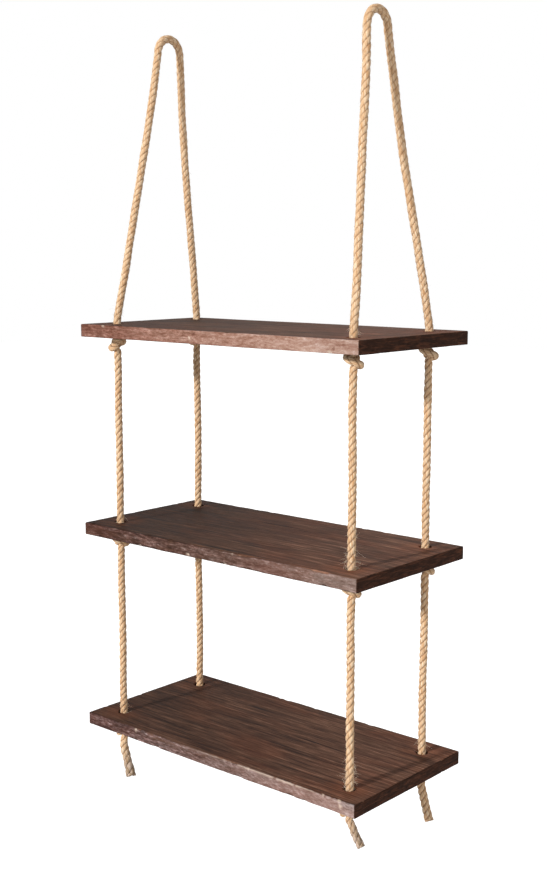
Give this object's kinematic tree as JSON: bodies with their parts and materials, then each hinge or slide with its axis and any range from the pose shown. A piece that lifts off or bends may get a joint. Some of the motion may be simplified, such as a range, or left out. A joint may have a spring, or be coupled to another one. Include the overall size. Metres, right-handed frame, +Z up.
{
  "type": "hanging rope shelf",
  "caption": "Hanging shelf: stained wooden boards threaded on two laid ropes, each board resting on knots, with a rope loop at each side to hang from a hook.",
  "frame": {"origin": "midway between the two places where the rope loops bear on their hooks, 317.5 mm apart, at the inside of the top of the loops", "axes": "+X along the boards to the right as seen from the front, +Y to the rear (the wall side), +Z up"},
  "size_m": [0.4318, 0.2032, 0.9366],
  "materials": {
    "board_wood": "dark walnut stain, dull, fine grain along the length, worn edges",
    "jute_rope": "three-strand laid jute, matt, slightly hairy"
  },
  "bodies": {
    "root": {"left_loop_crown": "jute_rope", "right_loop_crown": "jute_rope"},
    "left_loop": {"left_front_loop_leg": "jute_rope", "left_rear_loop_leg": "jute_rope"},
    "right_loop": {"right_front_loop_leg": "jute_rope", "right_rear_loop_leg": "jute_rope"},
    "hanging_ropes": {"top_left_front_knot": "jute_rope", "top_left_rear_knot": "jute_rope", "top_right_front_knot": "jute_rope", "top_right_rear_knot": "jute_rope", "middle_left_front_knot": "jute_rope", "middle_left_rear_knot": "jute_rope", "middle_right_front_knot": "jute_rope", "middle_right_rear_knot": "jute_rope", "bottom_left_front_knot": "jute_rope", "bottom_left_rear_knot": "jute_rope", "bottom_right_front_knot": "jute_rope", "bottom_right_rear_knot": "jute_rope", "upper_left_front_rope": "jute_rope", "upper_left_rear_rope": "jute_rope", "upper_right_front_rope": "jute_rope", "upper_right_rear_rope": "jute_rope", "lower_left_front_rope": "jute_rope", "lower_left_rear_rope": "jute_rope", "lower_right_front_rope": "jute_rope", "lower_right_rear_rope": "jute_rope", "left_front_tail": "jute_rope", "left_rear_tail": "jute_rope", "right_front_tail": "jute_rope", "right_rear_tail": "jute_rope"},
    "top_board": {"top_board": "board_wood"},
    "middle_board": {"middle_board": "board_wood"},
    "bottom_board": {"bottom_board": "board_wood"}
  },
  "joints": [
    {"name": "loop_sway", "type": "hinge", "parent": "root", "child": "left_loop", "pos_m": [-0.15875, 0, -0.0122], "axis": [0, 1, 0], "range_deg": [-8, 8]},
    {"name": "right_loop_sway", "type": "hinge", "parent": "root", "child": "right_loop", "pos_m": [0.15875, 0, -0.0122], "axis": [0, 1, 0], "range_deg": [-8, 8]},
    {"name": "boards_stay_level", "type": "hinge", "parent": "left_loop", "child": "hanging_ropes", "pos_m": [-0.1839, 0, -0.3394], "axis": [0, 1, 0], "range_deg": [-7, 7]},
    {"name": "top_board_lift", "type": "slide", "parent": "hanging_ropes", "child": "top_board", "axis": [0, 0, 1], "range_m": [0, 0.005]},
    {"name": "middle_board_lift", "type": "slide", "parent": "hanging_ropes", "child": "middle_board", "axis": [0, 0, 1], "range_m": [0, 0.215]},
    {"name": "bottom_board_lift", "type": "slide", "parent": "hanging_ropes", "child": "bottom_board", "axis": [0, 0, 1], "range_m": [0, 0.215]}
  ],
  "couplings": [
    {"joint": "right_loop_sway", "follows": "loop_sway", "ratio": 1},
    {"joint": "boards_stay_level", "follows": "loop_sway", "ratio": -0.86324}
  ]
}
